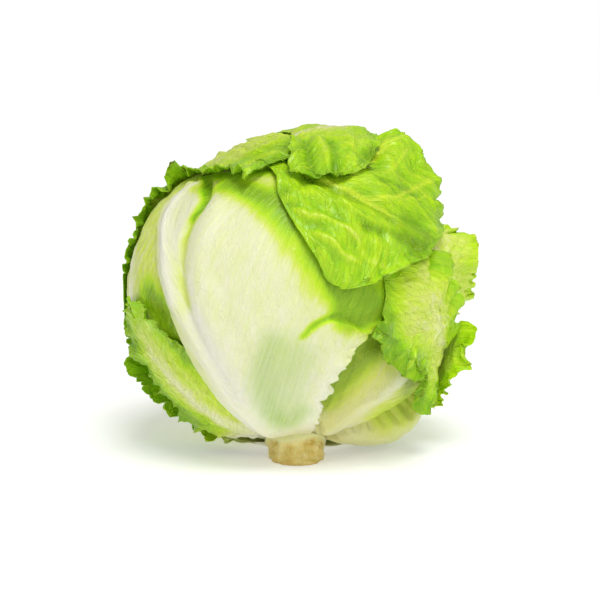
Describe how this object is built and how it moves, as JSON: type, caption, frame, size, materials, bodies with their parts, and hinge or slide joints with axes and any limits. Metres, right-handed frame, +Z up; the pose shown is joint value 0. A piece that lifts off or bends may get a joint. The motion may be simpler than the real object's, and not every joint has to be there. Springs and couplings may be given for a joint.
{
  "type": "head of lettuce",
  "caption": "Round head of crisp lettuce: pale ribbed wrapper leaves and frilly bright green leaf tips folded over a packed heart, on a short cut stem.",
  "frame": {"origin": "middle of the cut face of the stem, which stands flat on the surface", "axes": "+Z up, -Y towards the side that the stem leans to, where the broad pale wrapper leaf is, +X to the right seen from there"},
  "size_m": [0.1889, 0.1704, 0.1717],
  "materials": {
    "green_leaf": null,
    "pale_leaf": null,
    "heart_leaf": null,
    "stem_flesh": null
  },
  "bodies": {
    "root": {"stem": "stem_flesh", "heart": "heart_leaf", "heart_leaf_1": "heart_leaf", "heart_leaf_2": "heart_leaf", "heart_leaf_3": "heart_leaf", "heart_leaf_4": "heart_leaf", "heart_leaf_5": "heart_leaf", "under_leaf_back": "pale_leaf", "under_leaf_left": "pale_leaf", "under_leaf_right": "pale_leaf", "under_leaf_front": "pale_leaf", "side_leaf": "pale_leaf", "left_leaf": "pale_leaf", "bottom_right_leaf": "pale_leaf", "front_right_leaf": "pale_leaf", "lower_left_leaf": "pale_leaf", "front_leaf": "pale_leaf", "right_leaf": "green_leaf", "upper_right_leaf": "green_leaf", "right_curl_leaf": "green_leaf", "back_left_leaf": "green_leaf", "drooping_leaf": "green_leaf", "top_leaf": "green_leaf", "crown_leaf": "green_leaf"}
  },
  "joints": []
}
